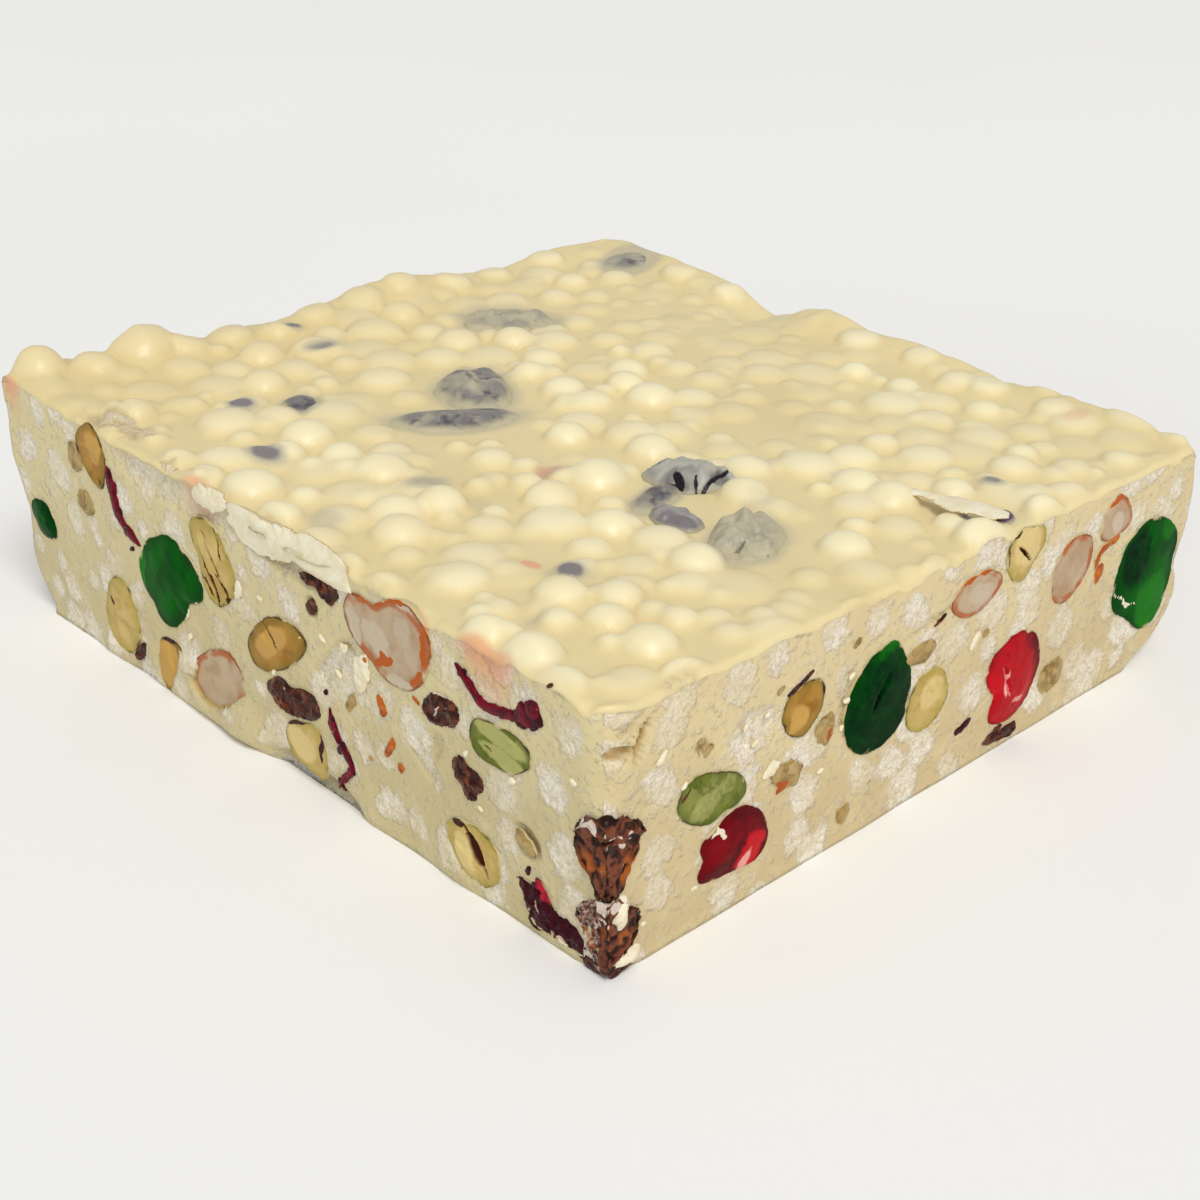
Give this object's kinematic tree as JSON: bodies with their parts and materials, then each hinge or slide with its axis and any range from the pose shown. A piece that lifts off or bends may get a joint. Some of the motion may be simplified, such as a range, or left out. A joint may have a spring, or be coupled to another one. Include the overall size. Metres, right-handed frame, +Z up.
{
  "type": "white chocolate fruit and nut slab",
  "caption": "Square slab of white Christmas: white chocolate over rice puffs with a bumpy top, knife-cut sides showing cherries, pistachios, peanuts, cranberries and raisins.",
  "frame": {"origin": "centre of the slab's footprint, on its flat underside", "axes": "+Z up through the thickness, +Y along the longer side; the two knife-cut sides face -X and -Y"},
  "size_m": [0.1178, 0.133, 0.0424],
  "materials": {
    "white_chocolate": "softly glossy white chocolate, matt where it is cut",
    "green_cherry": "glossy, translucent glace green",
    "red_cherry": "glossy, translucent glace red",
    "green_pistachio": "matt cut kernel, olive green",
    "amber_pistachio": "matt cut kernel, amber",
    "pale_nut": "matt cut kernel, pale tan",
    "peanut": "matt cut kernel with a red-brown skin",
    "nut_chip": "matt cut kernel fragment",
    "raisin": "dark, wrinkled, a little glossy",
    "veiled_raisin": "dark raisin under a thin film of white chocolate",
    "cranberry": "dark red, wrinkled, a little glossy"
  },
  "bodies": {
    "root": {"chocolate_slab": "white_chocolate", "raisin_corner_upper": "raisin", "raisin_corner_lower": "raisin", "pistachio_corner_amber": "amber_pistachio", "pistachio_corner_olive": "nut_chip", "pistachio_bit_olive": "nut_chip", "cranberry_shred_upper": "cranberry", "cherry_green_end": "green_cherry", "cherry_green_bright": "green_cherry", "pistachio_cracked": "pale_nut", "pistachio_pale": "pale_nut", "pistachio_low_amber": "amber_pistachio", "raisin_shred_low": "raisin", "peanut_ringed_long": "peanut", "pistachio_long_amber": "amber_pistachio", "raisin_under_lip": "raisin", "peanut_large": "peanut", "raisin_wide": "raisin", "peanut_broken_foot": "pale_nut", "cranberry_shred_low": "cranberry", "raisin_middle": "raisin", "cranberry_curl": "cranberry", "pistachio_green_wedge": "green_pistachio", "raisin_torn": "raisin", "pistachio_split": "pale_nut", "cranberry_front": "cranberry", "pistachio_green_front": "green_pistachio", "cherry_red_front": "red_cherry", "pistachio_amber_right": "amber_pistachio", "peanut_chip_upper": "nut_chip", "peanut_chip_lower": "nut_chip", "cherry_green_dark": "green_cherry", "pistachio_sliver": "nut_chip", "pistachio_tan": "pale_nut", "peanut_half": "peanut", "pistachio_notched": "pale_nut", "cherry_red_middle": "red_cherry", "raisin_shred_foot": "raisin", "peanut_ringed_round": "peanut", "peanut_chip_tan": "nut_chip", "peanut_end": "peanut", "cherry_green_corner": "green_cherry", "cherry_red_far": "red_cherry", "pistachio_far": "green_pistachio", "cherry_green_far": "green_cherry", "cherry_green_back": "green_cherry", "peanut_back": "peanut", "cherry_red_back": "red_cherry", "pistachio_back": "amber_pistachio", "raisin_top_long": "veiled_raisin", "raisin_top_hooked": "veiled_raisin", "raisin_top_bare": "raisin", "raisin_top_purple": "raisin", "raisin_top_grey": "veiled_raisin", "raisin_top_brown": "veiled_raisin", "raisin_in_flake": "raisin", "raisin_top_dark": "veiled_raisin", "raisin_top_back": "veiled_raisin", "raisin_top_far": "veiled_raisin"}
  },
  "joints": []
}
